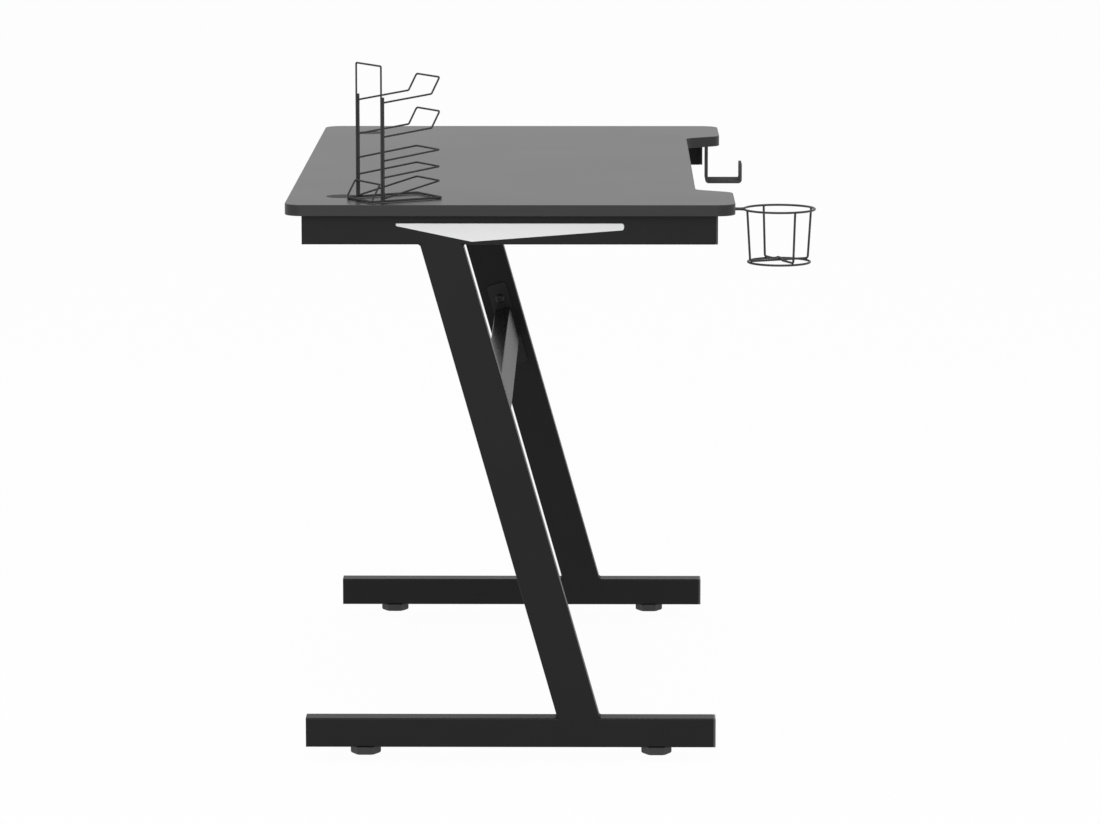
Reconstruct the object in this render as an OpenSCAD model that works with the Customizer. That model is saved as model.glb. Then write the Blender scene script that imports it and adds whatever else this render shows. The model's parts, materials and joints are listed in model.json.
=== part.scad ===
// Gaming desk: a laminated worktop with a bay in its front edge, two welded steel side frames
// with leaning legs, a crossbar, a headphone hook, a wire cup holder and a wire rack for
// controllers and game cases. +Z is up, -Y is the front where the user sits, -X is the user's left.

/* [Worktop] */
// Width of the worktop, side to side
desk_w = 1050; // [900:10:1600]
// Depth of the worktop, front edge to rear edge
top_depth = 600; // [560:10:750]
// Height of the worktop's upper face above the floor
desk_h = 750; // [700:5:800]
// Thickness of the worktop
top_t = 15; // [14:1:25]
// Radius of the four outer corners, seen from above
top_corner_r = 24; // [10:1:40]
// Depth of the bay in the front edge
bay_depth = 50; // [30:5:70]
// Width of the bay along its inner edge
bay_w = 680; // [500:10:700]
// How far each slanted side of the bay runs sideways
bay_slant = 32; // [15:1:50]
// Radius of the bay's four corners
bay_r = 20; // [5:1:24]
// Thickness of the edging band
edging_t = 1.2; // [1.1:0.1:2]
// Radius of the edging band's rounded arrises
arris_r = 1; // [0.5:0.1:1]

/* [Cable caps] */
// From the worktop's ends to the middle of the cable holes
cable_end_offset = 102; // [80:1:200]
// From the worktop's rear edge to the middle of the cable holes
cable_rear_offset = 73; // [60:1:90]
// Diameter of the cable holes
cable_hole_d = 38; // [30:1:50]
// Width of a cap's flange round its hole
cable_flange_w = 2.5; // [2:0.1:5]
// Thickness of the flange, which lies flush in the worktop
cable_flange_t = 1.6; // [1.2:0.1:2.5]
// Depth of a cap's plug below the worktop's upper face
cable_plug_h = 12; // [8:0.5:13]
// Wall of the plug
cable_wall = 1.6; // [1.2:0.1:2.5]
// Chamfer of the flange's upper rim
cable_chamfer = 0.5; // [0.2:0.1:1]

/* [Side frames] */
// From the worktop's end to the outer face of a side frame
frame_inset = 17; // [5:1:40]
// Width of the frame's tubes, side to side
tube_w = 30; // [25:1:40]
// Height of the top rail and of the foot rail
rail_h = 40; // [36:1:60]
// Wall of the frame's tubes
tube_wall = 1.5; // [1.2:0.1:2.5]
// Outer corner radius of the frame's tubes
tube_r = 2; // [1.8:0.1:4]
// From the worktop's front edge to the front end of the rails
rail_front_setback = 26.5; // [22:0.5:60]
// From the worktop's rear edge to the rear end of the rails
rail_rear_setback = 22.5; // [10:0.5:60]
// Width of a leg, square to its slope
leg_w = 55; // [45:1:70]
// How far a leg's head stands behind its foot
leg_lean = 183; // [120:1:220]
// Size of the weld fillet in the corner behind a leg's head
weld_w = 2.5; // [1.5:0.5:6]

/* [End caps] */
// Thickness of a front cap's flange
cap_flange_t = 3.4; // [3:0.1:5]
// Radius of the rounded rims of the flange
cap_rim_r = 1.4; // [0.8:0.1:1.4]
// Length of the plug inside the tube
cap_plug_l = 16; // [10:1:25]
// Wall of the plug
cap_wall = 1.8; // [1.2:0.1:2.5]

/* [Glides] */
// From the worktop's front and rear edges in to the glides
glide_setback = 103; // [60:1:150]
// Width of the hexagonal pad across its corners
pad_d = 41; // [32:1:50]
// Height of the pad
pad_h = 10; // [8:0.5:15]
// Chamfer of the pad's corners
pad_chamfer = 1.2; // [0.6:0.1:2]
// Diameter of the glide's threaded stud
stud_d = 8; // [6:1:10]
// Length of the stud above the pad
stud_l = 24; // [20:1:28]
// How deep the stud sits in the pad
stud_seat = 6; // [4:0.5:7]
// Width of the weld nut across its flats
nut_af = 13; // [12:0.5:17]
// Height of the weld nut
nut_h = 6.5; // [5:0.5:9]

/* [Side inlays] */
// Length of the white inlay in a top rail's outer face
inlay_l = 303.5; // [200:0.5:400]
// From the rail's upper face down to the inlay's upper edge
inlay_drop = 11.7; // [8:0.1:13]
// Height of the inlay at its lowest point
inlay_h = 24.3; // [16:0.1:25]
// Height of the inlay at its front end
inlay_front_h = 8.8; // [6:0.1:12]
// Height of the inlay at its rear end
inlay_rear_h = 3.2; // [2.5:0.1:6]
// Thickness of the inlay
inlay_t = 2; // [1.8:0.1:3]
// How far the inlay stands proud of the rail
inlay_proud = 0.3; // [0.1:0.1:0.6]

/* [Crossbar] */
// Height of the crossbar's section, measured along the legs
crossbar_h = 50; // [40:1:60]
// Thickness of the crossbar's section
crossbar_t = 25; // [18:1:26]
// Height of the crossbar's centre above the floor
crossbar_z = 450; // [300:5:520]
// How far the crossbar sits behind the legs' centre line
crossbar_set_back = 0; // [0:0.5:5]
// Length of the end plates
crossbar_plate_l = 128; // [122:1:160]
// Width of the end plates
crossbar_plate_w = 30; // [26:1:40]
// Thickness of the end plates
crossbar_plate_t = 4; // [3:0.5:6]
// Distance between the two bolts of an end plate
crossbar_bolt_pitch = 82; // [78:1:100]

/* [Stretchers] */
// Width of the two flat stretchers under the worktop
stretcher_w = 40; // [30:1:60]
// Height of the stretchers
stretcher_h = 20; // [15:1:25]
// From the worktop's front and rear edges in to the middle of the stretchers
stretcher_setback = 120; // [95:5:150]
// Width of the stretchers' end plates
bracket_w = 84; // [76:1:110]
// Height of the stretchers' end plates
bracket_h = 34; // [30:1:36]
// Thickness of the stretchers' end plates
bracket_t = 3; // [2:0.5:5]
// Distance between the two bolts of an end plate
bracket_bolt_pitch = 62; // [58:1:74]

/* [Fasteners] */
// Shank diameter of the crossbar's bolts
big_bolt_d = 8; // [6:1:8]
// Shank diameter of the stretchers' bolts
small_bolt_d = 6; // [5:1:6]
// Depth of the insert nuts in the tubes
insert_l = 14; // [10:1:18]
// Shank diameter of the worktop's screws
screw_d = 4; // [3.5:0.1:5]
// How deep the screws go into the worktop
screw_bite = 11; // [8:0.5:12]
// Diameter of the holes that let a screw through the tubes' lower walls
access_d = 12; // [10:0.5:14]
// Running clearance round a thread or a shank, on the radius
thread_gap = 0.05; // [0.03:0.01:0.08]

/* [Headphone hook] */
// From the worktop's right end to the middle of the hook
hook_end_offset = 77.5; // [75:0.5:120]
// Width of the hook's strip
hook_w = 55; // [40:1:58]
// Thickness of the strip
hook_t = 4; // [3:0.5:5]
// From the worktop's front edge back to the rear face of the hook's drop
hook_setback = 20; // [10:1:30]
// Drop of the hook below the worktop
hook_drop = 61.8; // [50:0.2:90]
// Length of the hook's floor, over its outer faces
hook_reach = 55.6; // [45:0.2:75]
// Height of the hook's lip above its lower face
hook_lip = 29.4; // [16:0.2:35]
// Outer bend radius of the strip
hook_bend_r = 5.5; // [5.2:0.1:8]
// Length of the hidden flange under the worktop
hook_flange_l = 50; // [40:1:60]
// Distance between the flange's two screws
hook_screw_pitch = 32; // [24:1:36]

/* [Cup holder] */
// From the worktop's left end to the middle of the cup holder
cup_end_offset = 100; // [95:1:160]
// From the worktop's front edge out to the middle of the cup holder
cup_reach = 61.2; // [58:0.2:80]
// Diameter of the upper ring, over the wire's centre
cup_top_d = 95.5; // [85:0.5:105]
// Diameter of the lower ring, over the wire's centre
cup_foot_d = 83.4; // [70:0.2:84]
// Distance between the two rings
cup_drop = 71.5; // [50:0.5:100]
// Diameter of the cup holder's wire
cup_wire_d = 3; // [2.5:0.1:4]
// How far the two crossing wires are turned from the desk's own axes
cup_turn = 24.2; // [22:0.1:60]
// Distance between the two stems that run back under the worktop
stem_pitch = 10; // [8:0.5:14]
// Bend radius where the ring runs into its stems
stem_bend_r = 6; // [5:0.5:9]
// Length of the saddle that holds the stems
saddle_l = 40; // [30:1:50]
// Thickness of the saddle's sheet
saddle_t = 1.5; // [1:0.1:2]

/* [Rack] */
// From the worktop's left end to the middle of the rack's uprights
rack_end_offset = 55.8; // [55:0.1:200]
// From the worktop's rear edge to the middle of the rack's uprights
rack_rear_offset = 113.9; // [90:0.1:250]
// How far the rack is turned from facing the front edge squarely
rack_turn = 31.4; // [0:0.1:45]
// Width of the rack, between the centres of its uprights
rack_w = 68.4; // [60:0.2:90]
// Length of the rack's foot frame ahead of the uprights
rack_front_l = 89.2; // [80:0.2:120]
// Length of the rack's foot frame behind the uprights
rack_rear_l = 18.5; // [16:0.1:30]
// Diameter of the rack's rods, which make its foot frame and uprights
rod_d = 3.2; // [3:0.1:4]
// Diameter of the rack's wires, which make its hoop, cradles and shelves
wire_d = 2.5; // [2:0.1:3]
// Height of the uprights above the worktop
upright_top = 140; // [120:1:170]
// Height of the hoop above the worktop
hoop_top = 181.7; // [175:0.1:230]
// Height where the upper cradle leaves the uprights
upper_cradle_z = 132.3; // [115:0.1:134]
// Height where the lower cradle leaves the uprights
lower_cradle_z = 86.7; // [80:0.1:95]
// Reach of a cradle's arms, up to their kink
cradle_reach = 75.5; // [50:0.5:85]
// Rise of a cradle's arms, up to their kink
cradle_rise = 8.8; // [0:0.1:15]
// How far the cradle's tip stands ahead of the kink
cradle_tip_l = 12.5; // [5:0.5:20]
// Rise of the cradle's tip above the kink
cradle_tip_rise = 22; // [10:0.5:30]
// Reach of the shelves
shelf_reach = 87.5; // [60:0.5:95]
// Rise of the upper and middle shelf, from uprights to front
shelf_rise = 11; // [0:0.5:16]
// Height where the upper shelf leaves the uprights
upper_shelf_z = 54.7; // [50:0.1:65]
// Height where the middle shelf leaves the uprights
middle_shelf_z = 32.2; // [28:0.1:40]
// Height where the lowest shelf leaves the uprights
lower_shelf_z = 3.8; // [3:0.1:8]
// Rise of the lowest shelf, from uprights to front
lower_shelf_rise = 20.3; // [10:0.1:24]
// Height of the brace's bar behind the uprights
brace_z = 24.3; // [15:0.1:30]

/* [Hidden] */
$fn = 64;

left = -1;
right = 1;
front = -1;
rear = 1;
up = [0, 0, 1];
sideways = [1, 0, 0];

laminate_c = "#5c5c5d";
edging_c = "#3a3a3b";
steel_c = "#2b2b2c";
crossbar_c = "#3d3d3e";
white_c = "#dedede";
cap_c = "#606062";
dark_cap_c = "#232324";
pad_c = "#3c3c3d";
zinc_c = "#b9bcc0";
wire_c = "#38383a";

// Small sizes that the pieces share
cut = 1; // overrun of a cutting shape
weld_gap = 0.1; // between two pieces that are welded together
slip_gap = 0.2; // between a plug or clip and the tube it sits in
rack_seat = 0.3; // between the loose rack and the worktop
swell = 0.03; // how much a rod's radius grows in a bend
lap = 0.3; // how far a straight run reaches into a bend, or a clip into what carries it

// Heights
top_z = desk_h - top_t;
top_rail_z = top_z - rail_h;
foot_rail_z = pad_h;
foot_top_z = foot_rail_z + rail_h;
rail_gap = top_rail_z - foot_top_z;

// The cable holes
cable_x = desk_w / 2 - cable_end_offset;
cable_y = top_depth / 2 - cable_rear_offset;
cable_cap_r = cable_hole_d / 2 + cable_flange_w;

// The side frames
rail_x = desk_w / 2 - frame_inset - tube_w / 2;
inner_face_x = rail_x - tube_w / 2;
rail_front_y = -top_depth / 2 + rail_front_setback;
rail_rear_y = top_depth / 2 - rail_rear_setback;
rail_l = rail_rear_y - rail_front_y;
leg_angle = atan2(leg_lean, rail_gap);
inner_tube_w = tube_w - 2 * tube_wall;
inner_rail_h = rail_h - 2 * tube_wall;
glide_y = top_depth / 2 - glide_setback;
glide_hole_gap = 0.6; // round the stud in the rail's lower wall

// Where the worktop's screws stand along a top rail and a stretcher, and how far the insert nuts reach
rail_screw_shares = [-0.44, -0.1, 0.44];
stretcher_screw_shares = [-0.27, 0.27];
insert_wall = 1.5;
insert_flare = 1.6;
insert_flare_l = 3;
bolt_past_insert = 1;
hole_gap = 0.3; // round a bolt in its plate
screw_head_d = 8.4;
screw_head_h = 2.6;
head_d_share = 1.75; // bolt head diameter, as a share of the shank
head_h_share = 0.55; // bolt head height
key_share = 0.62; // hexagon socket in a bolt's head
key_depth_share = 0.6; // its depth, as a share of the head's height
crown_share = 0.5; // flat top of a screw's head
rim_share = 0.33; // straight rim of a screw's head
stud_tip_share = 0.125; // chamfer on a stud's tip

// Shapes of the inlay: where it is deepest, as a share of its length from the front, and its corners
inlay_low_share = 0.668;
inlay_front_r = 3.4;
inlay_low_r = 12;
inlay_rear_r = 1.4;
inlay_gap = 0.3;
clip_l = 12;
clip_reach = 1.2;
clip_t = 1.4;
clip_root = 1.5; // how far a clip's root lies over the inlay's back
clip_shares = [0.1, 0.9];

// The crossbar lies along the legs' slope
crossbar_y = leg_lean * ((crossbar_z - foot_top_z) / rail_gap - 1 / 2) + crossbar_set_back / cos(leg_angle);
plate_r = 4;
crossbar_bolt_l = crossbar_plate_t + insert_l + bolt_past_insert;
bracket_bolt_l = bracket_t + insert_l + bolt_past_insert;
bracket_z = top_z - rail_h / 2;
stretcher_ys = [stretcher_setback - top_depth / 2, top_depth / 2 - stretcher_setback];

// The hook and the cup holder
hook_x = desk_w / 2 - hook_end_offset;
hook_y = -top_depth / 2 + hook_setback;
hook_lip_r = 5;
cup_x = -desk_w / 2 + cup_end_offset;
cup_y = -top_depth / 2 - cup_reach;
cup_ring_z = top_z - weld_gap - cup_wire_d / 2;
cup_ring_r = cup_top_d / 2;
cup_foot_r = cup_foot_d / 2;
cup_foot_z = cup_ring_z - cup_drop;
stem_bend_x = stem_pitch / 2 + stem_bend_r;
stem_bend_y = sqrt(pow(cup_ring_r + stem_bend_r, 2) - pow(stem_bend_x, 2));
stem_open = atan2(stem_bend_x, stem_bend_y);
saddle_setback = 18; // from the worktop's front edge to the saddle
saddle_flange = 13;
saddle_y = cup_reach + saddle_setback; // measured back from the ring's centre
stem_end_y = saddle_y + saddle_l + cup_wire_d;
cup_bend_r = 3.5;
cup_corner_r = cup_foot_r + cup_wire_d / 2;
cup_joint = cup_bend_r + cup_wire_d + weld_gap; // from a corner's bend centre to the foot ring's centre
cup_floor_z = cup_foot_z - cup_bend_r
    + sqrt(pow(cup_joint, 2) - pow(cup_foot_r - cup_corner_r + cup_bend_r, 2));
hump_h = cup_wire_d + 2 * weld_gap;
hump_flat = 4;
hump_run = 7;

// The rack, in its own directions: x forward from the uprights, y across, z above the worktop
rack_x = -desk_w / 2 + rack_end_offset;
rack_y = top_depth / 2 - rack_rear_offset;
rack_half = rack_w / 2;
arm_half = rack_half - rod_d / 2 - wire_d / 2 - weld_gap;
rod_top = rod_d + weld_gap;
hoop_x = -(rod_d + wire_d) / 2 - weld_gap;
brace_x = hoop_x - wire_d - weld_gap;
foot_frame_r = 4.5;
wire_r = 3.2;
hoop_r = 2.2;

// The desk's box is centred on the origin, though the cup holder stands ahead of the worktop
front_reach = max(cup_reach + cup_ring_r + cup_wire_d / 2, hook_reach - hook_setback);
middle_y = front_reach / 2;

module on_floor() {
    translate([0, middle_y, 0]) children();
}

function unit(v) = v / norm(v);
function outward(a, b) = let (u = unit(b - a)) [u.y, -u.x];
function square_to(v) = unit(cross(v, abs(v.z) < norm(v) / 2 ? up : sideways));

// Puts the children's x along x and their z along z, at a point
module aim(at, x, z) {
    y = cross(z, x);
    multmatrix([[x.x, y.x, z.x, at.x], [x.y, y.y, z.y, at.y], [x.z, y.z, z.z, at.z], [0, 0, 0, 1]])
        children();
}

// Outlines run counter-clockwise through corners [x, y, radius]
function point_of(corners, i) = let (c = corners[i % len(corners)]) [c.x, c.y];
function before(corners, i) = outward(point_of(corners, i + len(corners) - 1), point_of(corners, i));
function after(corners, i) = outward(point_of(corners, i), point_of(corners, i + 1));
function bulge(corners, i) = cross(before(corners, i), after(corners, i)) > 0 ? 1 : -1;
function bend_centre(corners, i) = let (a = before(corners, i), b = after(corners, i))
    point_of(corners, i) - bulge(corners, i) * unit(a + b) * corners[i].z / cos(acos(a * b) / 2);

// Fills an outline, drawn inwards by an inset
module rounded_outline(corners, inset = 0) {
    every = [0 : len(corners) - 1];
    sign = [for (i = every) bulge(corners, i)];
    r = [for (i = every) corners[i].z - sign[i] * inset];
    centre = [for (i = every) bend_centre(corners, i)];
    difference() {
        union() {
            polygon([for (i = every) each [centre[i] + sign[i] * r[i] * before(corners, i),
                centre[i] + sign[i] * r[i] * after(corners, i)]]);
            for (i = every) if (sign[i] > 0) translate(centre[i]) circle(r[i]);
        }
        for (i = every) if (sign[i] < 0) translate(centre[i]) circle(r[i]);
    }
}

// Sweeps two profiles round an outline, the first along its edges and the second round its corners.
// Their x is outwards and their y up. The second is a little larger, to take in the first's ends.
module sweep_edge(corners) {
    for (i = [0 : len(corners) - 1]) {
        sign = bulge(corners, i);
        a = before(corners, i);
        b = after(corners, i);
        next = (i + 1) % len(corners);
        start = bend_centre(corners, i) + sign * corners[i].z * b;
        end = bend_centre(corners, next) + bulge(corners, next) * corners[next].z * b;
        way = unit(end - start);
        aim([end.x + way.x * lap, end.y + way.y * lap, 0], [b.x, b.y, 0], [-way.x, -way.y, 0])
            linear_extrude(norm(end - start) + 2 * lap) children(0);
        first = sign > 0 ? a : -b;
        reach = lap / corners[i].z * 180 / PI;
        translate(bend_centre(corners, i)) rotate(atan2(first.y, first.x) - reach)
            rotate_extrude(angle = acos(a * b) + 2 * reach) translate([corners[i].z, 0])
                mirror([sign > 0 ? 0 : 1, 0]) children(1);
    }
}

module rounded_rect(w, h, r) {
    if (r > 0) {
        square([w - 2 * r, h], center = true);
        square([w, h - 2 * r], center = true);
        for (x = [-1, 1], y = [-1, 1]) translate([x * (w / 2 - r), y * (h / 2 - r)]) circle(r);
    } else {
        square([w, h], center = true);
    }
}

module box_section(w, h, wall, r) {
    difference() {
        rounded_rect(w, h, r);
        rounded_rect(w - 2 * wall, h - 2 * wall, max(r - wall, 0));
    }
}

// A round rod bent along a path, with a true arc at each corner
module bent_rod(path, d, r, closed = false) {
    last = len(path) - 1;
    dir = [for (i = [0 : last]) unit(path[i == last ? 0 : i + 1] - path[i])];
    turn = [for (i = [0 : last]) acos(dir[i == 0 ? last : i - 1] * dir[i])];
    trim = [for (i = [0 : last]) closed || (i > 0 && i < last) ? r * tan(turn[i] / 2) - lap : 0];
    for (i = [0 : closed ? last : last - 1]) {
        j = i == last ? 0 : i + 1;
        aim(path[i] + dir[i] * trim[i], square_to(dir[i]), dir[i])
            cylinder(d = d, h = norm(path[j] - path[i]) - trim[i] - trim[j]);
    }
    for (i = [closed ? 0 : 1 : closed ? last : last - 1]) {
        u = dir[i == 0 ? last : i - 1];
        centre = path[i] + unit(dir[i] - u) * r / cos(turn[i] / 2);
        aim(centre, unit(path[i] - u * (trim[i] + lap) - centre), unit(cross(u, dir[i])))
            rotate_extrude(angle = turn[i]) translate([r, 0]) circle(d = d + 2 * swell);
    }
}

// A closed loop of rod, lying flat
module rod_ring(r, d) {
    rotate_extrude() translate([r, 0]) circle(d = d);
}

top_corners = [
    [-desk_w / 2, -top_depth / 2, top_corner_r],
    [-bay_w / 2 - bay_slant, -top_depth / 2, bay_r],
    [-bay_w / 2, -top_depth / 2 + bay_depth, bay_r],
    [bay_w / 2, -top_depth / 2 + bay_depth, bay_r],
    [bay_w / 2 + bay_slant, -top_depth / 2, bay_r],
    [desk_w / 2, -top_depth / 2, top_corner_r],
    [desk_w / 2, top_depth / 2, top_corner_r],
    [-desk_w / 2, top_depth / 2, top_corner_r]
];

// Where the screws of the rails, stretchers, hook and saddle enter the worktop
frame_screws = [
    for (side = [left, right], s = rail_screw_shares)
        [side * rail_x, (rail_front_y + rail_rear_y) / 2 + s * rail_l],
    for (y = stretcher_ys, s = stretcher_screw_shares) [s * 2 * inner_face_x, y]
];
hook_screws = [for (s = [-1, 1]) [hook_x + s * hook_screw_pitch / 2, hook_y + hook_flange_l / 2]];
saddle_half = stem_pitch / 2 + cup_wire_d / 2 + slip_gap + saddle_t;
saddle_screws = [for (s = [-1, 1]) [cup_x + s * (saddle_half + saddle_flange / 2),
    cup_y + saddle_y + saddle_l / 2]];

module worktop() color(laminate_c) on_floor() {
    difference() {
        translate([0, 0, top_z]) linear_extrude(top_t) rounded_outline(top_corners, edging_t);
        for (p = concat(frame_screws, hook_screws, saddle_screws))
            translate([p.x, p.y, top_z - cut])
                cylinder(d = screw_d + 2 * thread_gap, h = screw_bite + thread_gap + cut);
        for (side = [left, right]) translate([side * cable_x, cable_y, 0]) {
            translate([0, 0, top_z - cut]) cylinder(d = cable_hole_d, h = top_t + 2 * cut);
            translate([0, 0, desk_h - cable_flange_t])
                cylinder(r = cable_cap_r + slip_gap, h = cable_flange_t + cut);
        }
    }
}

// Cap that closes a cable hole: a hollow plug under a flange that lies flush in the worktop
module cable_cap(side) color(pad_c) on_floor() {
    plug_r = cable_hole_d / 2 - slip_gap;
    translate([side * cable_x, cable_y, desk_h]) rotate_extrude() polygon([
        [0, 0], [cable_cap_r - cable_chamfer, 0], [cable_cap_r, -cable_chamfer],
        [cable_cap_r, -cable_flange_t], [plug_r, -cable_flange_t], [plug_r, -cable_plug_h],
        [plug_r - cable_wall, -cable_plug_h], [plug_r - cable_wall, -cable_flange_t],
        [0, -cable_flange_t]
    ]);
}

// What the two rounded arrises leave of the band's outer corners
module arris_waste(grow) {
    inner = arris_r - 2 * swell + grow;
    for (upper = [0, 1]) translate([0, upper * top_t]) mirror([0, 1 - upper]) difference() {
        translate([-inner, -inner]) square(inner + cut + grow);
        translate([-inner, -inner]) circle(arris_r);
    }
}

module worktop_edging() color(edging_c) on_floor() {
    translate([0, 0, top_z]) difference() {
        linear_extrude(top_t) difference() {
            rounded_outline(top_corners);
            rounded_outline(top_corners, edging_t);
        }
        sweep_edge(top_corners) {
            arris_waste(0);
            arris_waste(swell);
        }
    }
}

module rail_tube() {
    rotate([-90, 0, 0]) linear_extrude(rail_l) box_section(tube_w, rail_h, tube_wall, tube_r);
}

inlay_top_z = top_z - inlay_drop;
inlay_corners = [
    [-inlay_l / 2, inlay_top_z, inlay_front_r],
    [-inlay_l / 2, inlay_top_z - inlay_front_h, inlay_front_r],
    [(inlay_low_share - 1 / 2) * inlay_l, inlay_top_z - inlay_h, inlay_low_r],
    [inlay_l / 2, inlay_top_z - inlay_rear_h, inlay_rear_r],
    [inlay_l / 2, inlay_top_z, inlay_rear_r]
];

// Draws the inlay's outline as a slab that starts inwards of a frame's outer face and ends outwards of it
module inlay_slab(side, inwards, outwards, inset) {
    outer = rail_x + tube_w / 2;
    translate([side > 0 ? outer - inwards : -outer - outwards, 0, 0])
        rotate([90, 0, 90]) linear_extrude(inwards + outwards) rounded_outline(inlay_corners, inset);
}

module top_rail(side) color(steel_c) on_floor() {
    difference() {
        translate([side * rail_x, rail_front_y, top_rail_z + rail_h / 2]) rail_tube();
        inlay_slab(side, tube_wall + cut, cut, -inlay_gap);
        for (p = frame_screws) if (p.x == side * rail_x) {
            translate([p.x, p.y, top_z - tube_wall - cut])
                cylinder(d = screw_d + 2 * hole_gap, h = tube_wall + 2 * cut);
            translate([p.x, p.y, top_rail_z - cut]) cylinder(d = access_d, h = tube_wall + 2 * cut);
        }
        for (y = stretcher_ys, s = [-1, 1])
            translate([side * (inner_face_x - cut), y + s * bracket_bolt_pitch / 2, bracket_z])
                rotate([0, side * 90, 0]) insert_hole(small_bolt_d, tube_wall + 2 * cut);
    }
}

module foot_rail(side) color(steel_c) on_floor() {
    difference() {
        translate([side * rail_x, rail_front_y, foot_rail_z + rail_h / 2]) rail_tube();
        for (end = [front, rear]) translate([side * rail_x, end * glide_y, foot_rail_z - cut])
            cylinder(d = stud_d + 2 * glide_hole_gap, h = tube_wall + 2 * cut);
    }
}

// A leg leans back from its foot to its head and is cut level at both ends
module leg(side) color(steel_c) on_floor() {
    run = leg_lean + 2 * leg_w;
    head_y = leg_lean / 2 + leg_w / 2 / cos(leg_angle);
    difference() {
        intersection() {
            translate([side * rail_x, 0, foot_top_z + rail_gap / 2]) rotate([-leg_angle, 0, 0])
                translate([0, 0, -(rail_gap + run) / 2]) linear_extrude(rail_gap + run)
                    box_section(tube_w, leg_w, tube_wall, tube_r);
            translate([side * rail_x - tube_w, -run, foot_top_z]) cube([2 * tube_w, 2 * run, rail_gap]);
        }
        crossbar_bolt_places(side) translate([0, 0, -cut])
            insert_hole(big_bolt_d, tube_wall + 2 * cut);
    }
    // Weld fillet in the corner behind the head
    weld_end = tube_r + lap;
    translate([side * rail_x - tube_w / 2 + weld_end, 0, 0]) rotate([90, 0, 90])
        linear_extrude(tube_w - 2 * weld_end) polygon([
            [head_y - tube_wall / 2, top_rail_z],
            [head_y - tube_wall / 2 - weld_w * tan(leg_angle), top_rail_z - weld_w],
            [head_y + weld_w, top_rail_z]
        ]);
}

// Flange with rounded rims: the crossing of its front, side and top views
module cap_flange() {
    intersection() {
        rotate([90, 0, 0]) linear_extrude(cap_flange_t) rounded_rect(tube_w, rail_h, tube_r);
        rotate([90, 0, 90]) translate([0, 0, -tube_w / 2]) linear_extrude(tube_w) rim_profile(rail_h);
        translate([0, 0, -rail_h / 2]) linear_extrude(rail_h) rotate(90) rim_profile(tube_w);
    }
}

// A view across the flange, both of its rims rounded
module rim_profile(height) {
    translate([-cap_flange_t / 2, 0]) rounded_rect(cap_flange_t, height, cap_rim_r);
}

// Hollow plug that runs back into the tube from its end
module cap_plug() {
    rotate([-90, 0, 0]) {
        linear_extrude(cap_plug_l)
            box_section(inner_tube_w - 2 * slip_gap, inner_rail_h - 2 * slip_gap, cap_wall, 0);
        linear_extrude(cap_wall)
            square([inner_tube_w - 2 * slip_gap, inner_rail_h - 2 * slip_gap], center = true);
    }
}

module front_cap(side, z, c) color(c) on_floor() {
    translate([side * rail_x, rail_front_y, z + rail_h / 2]) {
        cap_flange();
        cap_plug();
    }
}

module rear_cap(side, z, c) color(c) on_floor() {
    translate([side * rail_x, rail_rear_y, z + rail_h / 2]) mirror([0, 1, 0]) cap_plug();
}

module inlay(side) color(white_c) on_floor() {
    back = inlay_t - inlay_proud;
    outer = rail_x + tube_w / 2;
    inlay_slab(side, back, inlay_proud, 0);
    // Clips that reach behind the rail's wall, two above and one below
    clip_h = clip_reach + clip_root;
    for (p = [
        [clip_shares[0], inlay_top_z + clip_reach], [clip_shares[1], inlay_top_z + clip_reach],
        [inlay_low_share, inlay_top_z - inlay_h + clip_root]
    ])
        translate([side * (outer - back + (lap - clip_t) / 2), (p.x - 1 / 2) * inlay_l, p.y - clip_h / 2])
            cube([clip_t + lap, clip_l, clip_h], center = true);
}

module pad(side, end) color(pad_c) on_floor() {
    half = pad_d / 2;
    translate([side * rail_x, end * glide_y, 0]) difference() {
        intersection() {
            rotate(90) cylinder(d = pad_d, h = pad_h, $fn = 6);
            rotate_extrude() polygon([
                [0, 0], [half - pad_chamfer, 0], [half, pad_chamfer],
                [half, pad_h - pad_chamfer], [half - pad_chamfer, pad_h], [0, pad_h]
            ]);
        }
        translate([0, 0, pad_h - stud_seat]) cylinder(d = stud_d + 2 * thread_gap, h = stud_seat + cut);
    }
}

module stud(side, end) color(zinc_c) on_floor() {
    tip = stud_d * stud_tip_share;
    base_z = pad_h - stud_seat + thread_gap;
    translate([side * rail_x, end * glide_y, 0]) rotate_extrude() polygon([
        [0, base_z], [stud_d / 2, base_z],
        [stud_d / 2, pad_h + stud_l - tip], [stud_d / 2 - tip, pad_h + stud_l], [0, pad_h + stud_l]
    ]);
}

module glide_nuts() color(zinc_c) on_floor() {
    for (side = [left, right], end = [front, rear])
        translate([side * rail_x, end * glide_y, foot_rail_z + tube_wall]) difference() {
            cylinder(d = nut_af / cos(30), h = nut_h, $fn = 6);
            translate([0, 0, -cut]) cylinder(d = stud_d + 2 * thread_gap, h = nut_h + 2 * cut);
        }
}

// Bolt along +Z with its head below z = 0 and a hexagon socket in the head
module bolt(d, l) {
    head_d = d * head_d_share;
    head_h = d * head_h_share;
    difference() {
        rotate_extrude() polygon([
            [0, -head_h], [head_d / 2 - head_h / 2, -head_h], [head_d / 2, -head_h / 2],
            [head_d / 2, 0], [d / 2, 0], [d / 2, l], [0, l]
        ]);
        translate([0, 0, -head_h - cut])
            cylinder(d = d * key_share, h = head_h * key_depth_share + cut, $fn = 6);
    }
}

// Threaded insert along +Z, flush with the face it is set in, flared behind the tube's wall
module insert_nut(d) {
    bore = d / 2 + thread_gap;
    body = bore + insert_wall;
    flare_z = tube_wall + thread_gap;
    rotate_extrude() polygon([
        [bore, 0], [body, 0], [body, flare_z], [body + insert_flare, flare_z],
        [body, flare_z + insert_flare_l], [body, insert_l], [bore, insert_l]
    ]);
}

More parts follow.
